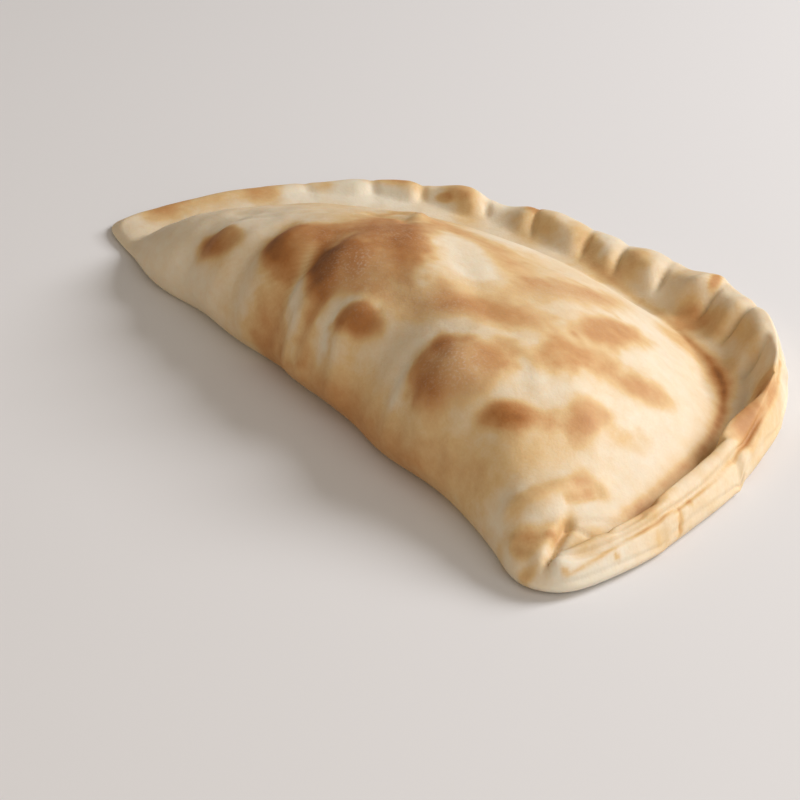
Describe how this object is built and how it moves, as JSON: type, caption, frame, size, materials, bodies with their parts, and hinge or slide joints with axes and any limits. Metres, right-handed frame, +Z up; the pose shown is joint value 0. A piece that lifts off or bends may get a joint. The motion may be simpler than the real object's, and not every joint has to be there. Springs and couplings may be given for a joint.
{
  "type": "calzone",
  "caption": "Baked half-moon calzone with a domed filled body, a bulging straight fold and a rolled, crimped rim.",
  "frame": {"origin": "centre of the bounding box in plan, on the flat base", "axes": "+X along the straight fold towards the rolled nose, +Y from the fold to the crimped rim, +Z up out of the base"},
  "size_m": [0.3042, 0.1664, 0.0479],
  "materials": {
    "crust": "baked dough, golden brown blisters on cream, dry and matt"
  },
  "bodies": {
    "root": {"calzone": "crust"}
  },
  "joints": []
}
